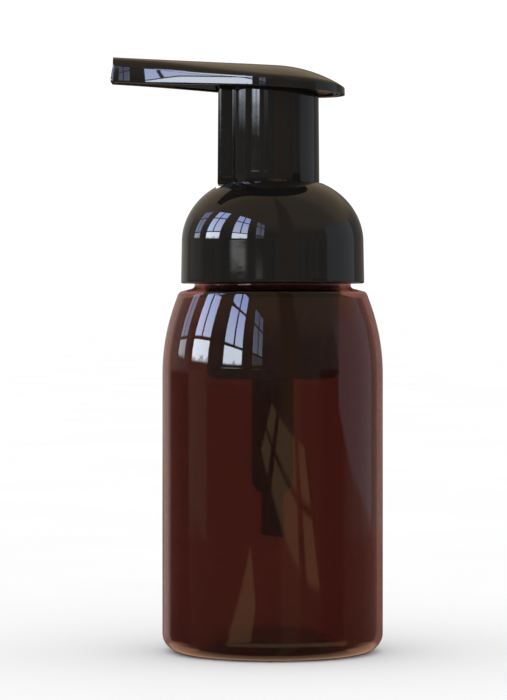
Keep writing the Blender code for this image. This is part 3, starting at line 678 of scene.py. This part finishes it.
def half_width(x, inset=0.0):
    """Half the paddle's width in plan: a disc, and a spout whose sides leave it at a tangent."""
    radius = PADDLE_RADIUS - inset
    tangent_x = -radius * math.sin(SPOUT_TAPER)
    if x >= tangent_x:
        return math.sqrt(max(radius ** 2 - x ** 2, 0.0))
    length = tangent_x - TIP_X
    left = (tangent_x - x) / length
    narrowing = left - left ** (FLARE_POWER + 1) / (FLARE_POWER + 1)
    return radius * math.cos(SPOUT_TAPER) - math.tan(SPOUT_TAPER) * length * narrowing


def rim_inset(x, height):
    """How far the rim's outer face has leant in at a height above its foot: more at the spout."""
    start, full = RIM_LEAN_X
    lean = RIM_LEAN * min(max((x - start) / (full - start), 0.0), 1.0)
    return lean * height + RIM_CURVE * height ** 2


def crowned(x, y, inset, roof):
    """Height of the crowned top, or with a roof thickness of the recess below it."""
    edge_z = rim_top_z(x) - roof
    crown = max(ridge_z(x) - roof - edge_z, 0.01)
    width = half_width(x, inset)
    across = min(abs(y) / width, 1.0) if width > 1e-6 else 1.0
    towards_tip = min(max(x / TIP_X, 0.0), 1.0) ** EDGE_ROUND_POWER
    edge = EDGE_ROUNDS[0] + (EDGE_ROUNDS[1] - EDGE_ROUNDS[0]) * towards_tip
    edge = min(edge, EDGE_ROUND_SHARE * crown)
    radius = edge / (1 - math.sin(EDGE_ROUND_START))
    run = math.cos(EDGE_ROUND_START) - (1 - across) * width / radius
    round_height = edge
    if run > 0:
        round_height = radius * (math.sqrt(1 - run * run) - math.sin(EDGE_ROUND_START))
    return edge_z + round_height + (crown - edge) * (1 - across ** CROWN_POWER)


def paddle_rows(inset, spout_rows=40, disc_rows=60, columns=40):
    """Rows of plan points across the paddle, from the tip to the far point of its disc."""
    radius = PADDLE_RADIUS - inset
    tip, tangent_x = TIP_X + inset, -radius * math.sin(SPOUT_TAPER)
    sweep = math.pi / 2 + SPOUT_TAPER
    stations = [tip + (tangent_x - tip) * k / spout_rows for k in range(spout_rows)]
    stations += [radius * math.sin(sweep * k / disc_rows - SPOUT_TAPER) for k in range(disc_rows)]
    rows = []
    for x in stations:
        width = half_width(x, inset)
        rows.append([(x, -width * math.cos(math.pi * k / columns)) for k in range(columns + 1)])
    corner = max(TIP_CORNER - inset, 0.15)
    straight = half_width(tip, inset) - corner
    for k, (x, y) in enumerate(rows[0]):
        past = min(max((abs(y) - straight) / corner, 0.0), 1.0)
        rows[0][k] = (x + corner * (1 - math.sqrt(1 - past * past)), y)
    rows.append([(radius, 0.0)])
    return rows


def between_plans(outer, inner, inset):
    """The plan point at an inset, between its places at no inset and at an inset of RIM_WALL."""
    share = inset / RIM_WALL
    return tuple(a + (b - a) * share for a, b in zip(outer, inner))


def boundary(rows):
    """The way round rows of a grid whose last row is one point: tip, one side, far point, other side."""
    right = [row[-1] for row in rows[1:-1]]
    left = [row[0] for row in rows[1:-1]]
    return rows[0] + right + rows[-1] + left[::-1]


def grid_faces(bm, rows):
    for row_a, row_b in zip(rows, rows[1:-1]):
        for k in range(len(row_a) - 1):
            bm.faces.new((row_a[k], row_a[k + 1], row_b[k + 1], row_b[k]))
    last, point = rows[-2], rows[-1][0]
    for k in range(len(last) - 1):
        bm.faces.new((last[k], last[k + 1], point))


def build_paddle(material):
    """The crowned paddle: one skin over its top, down its rim, and up into its recess."""
    foot_round, mouth_round, wall_steps, round_steps = 0.1, 0.25, 8, 4
    bm = bmesh.new()
    outer_rows, inner_rows = paddle_rows(0.0), paddle_rows(RIM_WALL)
    outer, inner = boundary(outer_rows), boundary(inner_rows)

    def point(x, y, z):
        return bm.verts.new(Vector((x, y, z)) * MM)

    def rim_height(x):
        return rim_top_z(x) - underside_z(x)

    def top_point(place_out, place_in):
        inset = rim_inset(place_out[0], rim_height(place_out[0]))
        x, y = between_plans(place_out, place_in, inset)
        return point(x, y, crowned(x, y, inset, 0.0))

    def loop(inset_and_height):
        """A loop round the rim; the function gives an inset and a height above the foot at x."""
        points = []
        for place_out, place_in in zip(outer, inner):
            inset, height = inset_and_height(place_out[0])
            x, y = between_plans(place_out, place_in, inset)
            points.append(point(x, y, underside_z(x) + height))
        return points

    top = [
        [top_point(a, b) for a, b in zip(row_out, row_in)]
        for row_out, row_in in zip(outer_rows, inner_rows)
    ]
    ceiling = [
        [point(x, y, crowned(x, y, RIM_WALL, ROOF_THICKNESS)) for x, y in row] for row in inner_rows
    ]
    loops = [boundary(ceiling)]
    quarter = [math.pi / 2 * k / round_steps for k in range(round_steps + 1)]
    for turn in quarter:  # the recess's mouth
        out, up = mouth_round * (1 - math.cos(turn)), mouth_round * (1 - math.sin(turn))
        loops.append(loop(lambda x: (RIM_WALL - out, up)))
    for turn in quarter:  # the rim's foot
        inward, up = foot_round * (1 - math.sin(turn)), foot_round * (1 - math.cos(turn))
        loops.append(loop(lambda x: (inward, up)))
    for k in range(1, wall_steps + 1):
        share = k / wall_steps
        loops.append(loop(lambda x: (
            rim_inset(x, share * rim_height(x)),
            foot_round + (rim_height(x) - foot_round - 0.05) * share,
        )))
    loops.append(boundary(top))
    grid_faces(bm, ceiling)
    grid_faces(bm, top)
    join_rings(bm, loops)
    bmesh.ops.recalc_face_normals(bm, faces=bm.faces)
    paddle = object_from("paddle_fine", bm)
    port = block(
        "spout_port",
        (TIP_X - 2, -DUCT_HALF_WIDTH - GAP, DUCT_LIFT - GAP),
        (TIP_X + 4, DUCT_HALF_WIDTH + GAP, DUCT_LIFT + DUCT_HEIGHT + GAP),
        corner=0.8, along="X",
    )
    tilt_with_underside(port)
    paddle = cut_or_joined(paddle, [port], "DIFFERENCE")
    finished(paddle, material, "head", "black_gloss", "head_paddle")


def tilt_with_underside(obj):
    """Moves a piece drawn above z = 0 so that it lies above the paddle's sloping underside."""
    slope = math.atan(-UNDERSIDE_SLOPE)
    obj.matrix_world = Matrix.Translation((0, 0, UNDERSIDE_Z * MM)) @ Matrix.Rotation(slope, 4, "Y")


def plate_under_spout():
    """A flat plate between the spout's rims, from its tip to the sleeve's boss."""
    start, end, count = TIP_X + RIM_WALL + GAP, BOSS_FRONT_X - 2 * GAP, 24
    bm = bmesh.new()
    rings = []
    for k in range(count + 1):
        x = start + (end - start) * k / count
        width = half_width(x, RIM_WALL) - 1.5 * GAP
        low = underside_z(x) + PLATE_LIFT
        high = low + PLATE_THICKNESS
        corners = ((-width, low), (width, low), (width, high), (-width, high))
        rings.append([bm.verts.new(Vector((x, y, z)) * MM) for y, z in corners])
    join_rings(bm, rings)
    bm.faces.new(rings[0])
    bm.faces.new(reversed(rings[-1]))
    bmesh.ops.recalc_face_normals(bm, faces=bm.faces)
    return object_from("duct_plate", bm)


def build_duct(material):
    """The foam channel along the spout, its spigot, and the plate that closes the spout below."""
    top = DUCT_LIFT + DUCT_HEIGHT
    spigot = SOCKET_BORE_RADIUS - 0.6
    tube = block(
        "duct_fine", (TIP_X + 0.2, -DUCT_HALF_WIDTH, DUCT_LIFT), (0, DUCT_HALF_WIDTH, top),
        corner=0.6, along="X",
    )
    cap = rod("duct_cap", DUCT_CHAMBER_RADIUS, DUCT_LIFT, top)
    channel = block(
        "duct_channel",
        (TIP_X - 2, -DUCT_HALF_WIDTH + DUCT_WALL, DUCT_LIFT + DUCT_WALL),
        (1, DUCT_HALF_WIDTH - DUCT_WALL, top - DUCT_WALL),
        corner=0.25, along="X",
    )
    room = rod("duct_room", DUCT_CHAMBER_RADIUS - DUCT_CHAMBER_WALL, DUCT_LIFT + DUCT_WALL, top - DUCT_WALL)
    for piece in (tube, cap, channel, room):
        tilt_with_underside(piece)
    pipe = rod("duct_spigot", spigot, SPIGOT_SEAT_Z + GAP, UNDERSIDE_Z + DUCT_LIFT + 1.0)
    bore = rod(
        "duct_bore", spigot - SPIGOT_WALL, SPIGOT_SEAT_Z - GAP, UNDERSIDE_Z + DUCT_LIFT + DUCT_WALL + 0.8
    )
    tube = cut_or_joined(tube, [plate_under_spout(), cap, pipe], "UNION")
    tube = cut_or_joined(tube, [channel, room, bore], "DIFFERENCE")
    finished(tube, material, "head", "black_gloss", "spout_duct")


def arc_points(centre, radius, start, end, pieces):
    angles = [start + (end - start) * k / pieces for k in range(pieces + 1)]
    return [centre + radius * Vector((math.cos(angle), math.sin(angle))) for angle in angles]


def sleeve_plan(inset):
    """The sleeve's outline in plan at an inset: most of a circle, and the boss towards the spout."""
    radius, half, front = SLEEVE_RADIUS - inset, BOSS_HALF_WIDTH - inset, BOSS_FRONT_X + inset
    fillet, corner = BOSS_FILLET + inset, max(BOSS_CORNER - inset, 0.3)
    centre = Vector((-math.sqrt((radius + fillet) ** 2 - (half + fillet) ** 2), half + fillet))
    join = math.atan2(centre.y, centre.x)
    side = arc_points(Vector((0, 0)), radius, 0, join, ROUND_POINTS)[:-1]
    side += arc_points(centre, fillet, join + math.pi, 1.5 * math.pi, 8)
    inside = Vector((front + corner, half - corner))
    side.append(Vector(((centre.x + inside.x) / 2, half)))
    side += arc_points(inside, corner, math.pi / 2, math.pi, 8)
    side += [Vector((front, inside.y * (1 - k / 6))) for k in range(1, 7)]
    mirrored = [Vector((p.x, -p.y)) for p in side[1:-1]]
    return side + mirrored[::-1]


def build_sleeve(material):
    """The round skirt with its boss, the plate that closes it, and the socket inside it."""
    bm = bmesh.new()
    outline = sleeve_plan(0.0)
    foot, inner_foot = 0.35, 0.25

    def top_z(x):
        return underside_z(x) + SLEEVE_TOP_LIFT

    def plan_ring(inset, height):
        """Height takes the point's number and its x."""
        return [
            bm.verts.new(Vector((p.x, p.y, height(k, p.x))) * MM)
            for k, p in enumerate(sleeve_plan(inset))
        ]

    def foot_ring(inset, lift):
        on_boss = range(ROUND_POINTS + 4, len(outline) - ROUND_POINTS - 3)
        return plan_ring(
            inset, lambda k, x: (BOSS_BOTTOM_Z if k in on_boss else SLEEVE_BOTTOM_Z) + lift
        )

    def round_ring(radius, height):
        ring = []
        for p in outline:
            x, y = Vector(p).normalized() * radius
            ring.append(bm.verts.new(Vector((x, y, height(x))) * MM))
        return ring

    rings = [
        round_ring(SOCKET_BORE_RADIUS - GAP, top_z),
        plan_ring(SLEEVE_DRAFT + 0.2, lambda k, x: top_z(x)),
        plan_ring(SLEEVE_DRAFT, lambda k, x: top_z(x) - 0.2),
        plan_ring(SLEEVE_DRAFT * 0.15, lambda k, x: BOSS_BOTTOM_Z + foot + 3),
    ]
    quarter = [math.pi / 2 * k / 4 for k in range(5)]
    rings += [foot_ring(foot * (1 - math.cos(turn)), foot * (1 - math.sin(turn))) for turn in quarter]
    rings += [
        foot_ring(SLEEVE_WALL - inner_foot * (1 - math.sin(turn)), inner_foot * (1 - math.cos(turn)))
        for turn in quarter
    ]
    rings.append(plan_ring(SLEEVE_WALL, lambda k, x: SLEEVE_PLATE_Z))
    profile = [
        (SOCKET_RADIUS + 0.3, SLEEVE_PLATE_Z),
        (SOCKET_RADIUS, SLEEVE_PLATE_Z - 0.3),
        (SOCKET_RADIUS, SOCKET_BOTTOM_Z + 0.2),
        (SOCKET_RADIUS - 0.2, SOCKET_BOTTOM_Z),
        (SOCKET_BORE_RADIUS + 0.2, SOCKET_BOTTOM_Z),
        (SOCKET_BORE_RADIUS, SOCKET_BOTTOM_Z + 0.2),
        (SOCKET_BORE_RADIUS, SCREEN_LEDGE_Z),
        (SOCKET_BORE_RADIUS - 0.9, SCREEN_LEDGE_Z),
        (SOCKET_BORE_RADIUS - 0.9, SPIGOT_SEAT_Z),
        (SOCKET_BORE_RADIUS - GAP, SPIGOT_SEAT_Z),
    ]
    rings += [round_ring(radius, lambda x, z=z: z) for radius, z in profile]
    join_rings(bm, rings, closed=True)
    bmesh.ops.recalc_face_normals(bm, faces=bm.faces)
    sleeve = object_from("sleeve_fine", bm)
    finished(sleeve, material, "head", "black_gloss", "head_sleeve")


# ---------------------------------------------------------------- studio

SUNLIT = (0.75, 0.50, 0.27)
FLOOR_DROP = 0.2  # below the bottle's base
FLOOR_RADIUS = 30  # in metres
CAMERA_PLACE = (-0.00494, -0.775, 0.087)  # in metres
CAMERA_TILT = 0.688  # degrees downwards
CAMERA_LENS = 154.1


def direction_field(tree):
    """A ray's direction as x, y and z, and its azimuth in degrees: 0 at the camera, 90 to the left."""
    split = tree.nodes.new("ShaderNodeSeparateXYZ")
    tree.links.new(tree.nodes.new("ShaderNodeTexCoord").outputs["Generated"], split.inputs[0])
    x, y, z = (Field(tree, output) for output in split.outputs)
    azimuth = (x * -1.0).maths("ARCTAN2", y * -1.0)
    return x, y, z, azimuth * (180 / math.pi)


def window_wall(tree, x, y, z, facing_azimuth=66.0, first=-0.32, spacing=0.76, half=0.215):
    """Masks of tall windows on a wall to the left, of their lowest row, and the height up the wall.

    The wall is one unit away. First is the middle of one window along it, spacing is from window to
    window, and half is half a window's width.
    """
    angle = math.radians(facing_azimuth)
    depth = x * -math.sin(angle) + y * -math.cos(angle)
    along = (x * math.cos(angle) - y * math.sin(angle)) / depth
    up = z / depth
    place = ((along - first) / spacing + 0.5).maths("FRACT") - 0.5
    off_middle = (place * spacing).maths("ABSOLUTE")
    wall = depth.mapped(0.05, 0.08) * along.mapped(-1.42, -1.38) * along.mapped(1.5, 1.6, 1.0, 0.0)
    dimmer_far = along.mapped(0.75, 1.05, 1.0, 0.2)
    dimmer_near = along.mapped(-0.8, -0.65, 0.25, 1.0)
    opening = wall * off_middle.mapped(half - 0.006, half + 0.006, 1.0, 0.0)
    opening = opening * dimmer_far * dimmer_near
    mullion = off_middle.mapped(0.012, 0.024)
    upper_rows = up.between(0.29, 0.70, 0.008) + up.between(0.74, 1.0, 0.008)
    skyline = noise(tree, joined(tree, along, depth), 12.0, 2.0) * 0.24
    low_row = z.mapped(0.072, 0.098) * up.mapped(0.255, 0.265, 1.0, 0.0)
    low_row = low_row * dimmer_far * (up - skyline).mapped(-0.016, -0.008, 0.5, 1.0)
    return opening * mullion * upper_rows, opening * low_row, up


def sun_patches(x, y, z):
    """Mask of the light that falls through the windows on the room's floor, one unit below.

    Across and away say where on that floor, along two slanting directions.
    """
    down = (z * -1.0).maths("MAXIMUM", 0.01)
    floor_x, floor_y = x / down, y / down
    across = floor_x * 0.954 + floor_y * 0.3
    away = floor_x * 0.745 - floor_y * 0.667
    rows = away.between(10.9, 14.5, 0.3) + away.between(15.4, 21.8, 0.5)
    strips = across.between(-10.9, -7.3, 0.2) + across.between(-5.6, 2.0, 0.2)
    strips = strips + across.between(3.4, 5.8, 0.2)
    near = away.between(-0.8, 4.2, 0.2) * across.between(-8.4, -5.9, 0.2)
    return (rows * strips + near) * z.mapped(-0.03, -0.02, 1.0, 0.0)


def wall_streaks(tree, azimuth, z):
    """Upright streaks, as of furniture and curtains along the walls."""
    return noise(tree, joined(tree, azimuth * 0.16, z * 9.0), 1.0, 3.0).mapped(0.4, 0.66)


def build_world():
    """White for the camera and for light; a dim warm room with tall windows for reflections."""
    world = bpy.data.worlds.new("studio")
    bpy.context.scene.world = world
    world.use_nodes = True
    world.cycles.sampling_method = "NONE"
    tree = world.node_tree
    x, y, z, azimuth = direction_field(tree)
    panes, low_panes, up = window_wall(tree, x, y, z)
    pane_colour = mixed(tree, up.mapped(0.3, 0.95), (8.0, 9.2, 13.2), (5.4, 6.4, 12.0))
    right_edge = z - azimuth * 0.0005
    corner_edge = z - azimuth * 0.0013
    left_edge = z - azimuth * 0.00062
    right_panel = azimuth.between(-125, -72, 1.5) * right_edge.mapped(-0.0115, -0.0055)
    right_panel = right_panel * corner_edge.mapped(0.0605, 0.0645) * z.mapped(0.3, 0.5, 1.0, 0.0)
    left_panel = azimuth.between(73, 103, 0.7) * left_edge.mapped(-0.1245, -0.1200)
    left_panel = left_panel * z.mapped(0.0, 0.05, 1.0, 0.0)
    front = y.mapped(-0.2, 0.0, 1.0, 0.0)
    sideways = azimuth.maths("ABSOLUTE").mapped(100, 120)
    colour = (0.19, 0.16, 0.14)  # of the walls; each layer below lies over the ones before it
    layers = [
        (wall_streaks(tree, azimuth, z), (0.25, 0.225, 0.205)),
        # lower part of the wall in front, ceiling, ceiling on the right, floor
        (z.mapped(-0.015, -0.03) * front, (0.13, 0.09, 0.07)),
        (z.mapped(0.2, 0.6), (0.45, 0.33, 0.22)),
        (z.mapped(0.2, 0.6) * azimuth.mapped(-20, -60), (0.38, 0.31, 0.24)),
        (z.mapped(-0.068, -0.08), (0.15, 0.10, 0.08)),
        # on the right: warm curtain, dark furniture, pale panel, wall past it
        (azimuth.between(-28, -8, 3), (0.26, 0.18, 0.12)),
        (azimuth.between(-78, -50, 1.5) * z.between(-0.3, 0.033, 0.005), (0.045, 0.04, 0.037)),
        (right_panel, (0.38, 0.41, 0.45)),
        (azimuth.between(-150, -125, 1.5) * z.mapped(-0.075, -0.067), (0.18, 0.17, 0.16)),
        # on the left, past the windows: pale wall, dark furniture, band above it, wall past it
        (left_panel, (0.30, 0.24, 0.19)),
        (azimuth.between(98, 135, 3) * z.between(-0.3, 0.0, 0.01), (0.03, 0.03, 0.03)),
        (azimuth.between(102, 128, 4) * z.between(0.015, 0.3, 0.02), (0.28, 0.27, 0.26)),
        (azimuth.between(136, 176, 5) * z.between(-0.2, 0.6, 0.1), (0.40, 0.37, 0.34)),
        # behind the object: ceiling, dark floor far off
        (z.mapped(0.25, 0.5) * y.mapped(0.02, 0.2), (0.53, 0.41, 0.28)),
        (y.mapped(0.93, 0.97) * z.between(-0.3, -0.05, 0.02), (0.03, 0.03, 0.03)),
        # sunlight: low at the back, low in front, twice below the windows, patches on the floor
        (z.mapped(-0.25, -0.35) * sideways, (0.8, 0.5, 0.3)),
        (z.between(-0.45, -0.16, 0.03) * azimuth.between(-85, 50, 4), SUNLIT),
        (azimuth.between(35, 54, 4) * z.between(0.0485, 0.0575, 0.003), (2.2, 2.2, 2.2)),
        (azimuth.between(13, 21, 2) * z.between(0.043, 0.052, 0.003), (0.75, 0.75, 0.75)),
        (sun_patches(x, y, z), SUNLIT),
        # the windows
        (panes, pane_colour),
        (low_panes, (13.0, 14.5, 16.5)),
    ]
    for mask, above in layers:
        colour = mixed(tree, mask, colour, above)
    path = tree.nodes.new("ShaderNodeLightPath")
    passed = Field(tree, path.outputs["Is Transmission Ray"]).mapped(0, 1, 1, 0)
    mirrored = Field(tree, path.outputs["Is Glossy Ray"]) * passed
    background = tree.nodes["Background"]
    tree.links.new(mixed(tree, mirrored, (1.06, 1.06, 1.06), colour), background.inputs["Color"])


def build_floor():
    bm = bmesh.new()
    bmesh.ops.create_circle(bm, cap_ends=True, segments=96, radius=FLOOR_RADIUS)
    floor = object_from("floor", bm)
    floor.location.z = -FLOOR_DROP * MM
    floor.visible_glossy = False
    material, shader = surface("pale_floor", Roughness=0.9)
    tree = material.node_tree
    cloud = noise(tree, object_coordinates(tree), 6.0, 3.0).mapped(0.3, 0.7)
    tree.links.new(mixed(tree, cloud, (0.93, 0.93, 0.93), (0.95, 0.95, 0.95)), shader.inputs["Base Color"])
    shader.inputs["Specular IOR Level"].default_value = 0.0
    floor.data.materials.append(material)


def build_camera():
    camera = bpy.data.objects.new("camera", bpy.data.cameras.new("camera"))
    bpy.context.scene.collection.objects.link(camera)
    camera.data.lens = CAMERA_LENS
    camera.location = CAMERA_PLACE
    camera.rotation_euler = (math.radians(90 - CAMERA_TILT), 0, 0)
    bpy.context.scene.camera = camera


# ---------------------------------------------------------------- the dispenser

def carried_over(materials):
    """Gives the inner CAD nodes their materials."""
    white, seal, metal = materials
    choices = {
        white: ("stem_guide", "air_piston", "liquid_stem", "mixing_ring", "mesh_sleeve",
                "lower_mesh", "upper_mesh"),
        seal: ("liquid_piston", "air_valve", "neck_gasket"),
        metal: ("inlet_ball", "outlet_ball"),
    }
    for material, names in choices.items():
        for name in names:
            node = frame["nodes"][name]
            node.data.materials.clear()
            node.data.materials.append(material)


build_camera()
bpy.context.scene.view_settings.view_transform = "Standard"
black_gloss = moulded(
    "black_gloss", ((0.0052, 0.0050, 0.0052), (0.0072, 0.0069, 0.0070)), (0.02, 0.045),
    grain=260.0, depth=0.000004, IOR=1.5,
)
black_satin = moulded(
    "black_satin", ((0.0075, 0.007, 0.0068), (0.011, 0.0105, 0.010)), (0.26, 0.36),
    grain=900.0, depth=0.00001, IOR=1.48,
)
white = moulded(
    "natural_polypropylene", ((0.72, 0.71, 0.68), (0.80, 0.80, 0.78)), (0.3, 0.42),
    grain=700.0, depth=0.00001, IOR=1.49, Subsurface_Weight=0.15, Subsurface_Scale=0.002,
)
seal = moulded(
    "soft_elastomer", ((0.66, 0.66, 0.62), (0.76, 0.76, 0.73)), (0.45, 0.6),
    grain=1200.0, depth=0.000015, IOR=1.43,
)
build_bottle(clear_amber())
build_collar(black_gloss)
build_housing(black_satin)
build_dip_tube(black_satin)
metal = steel()
build_spring(metal)
build_sleeve(black_gloss)
build_duct(black_gloss)
build_paddle(black_gloss)
carried_over((white, seal, metal))
build_floor()
build_world()
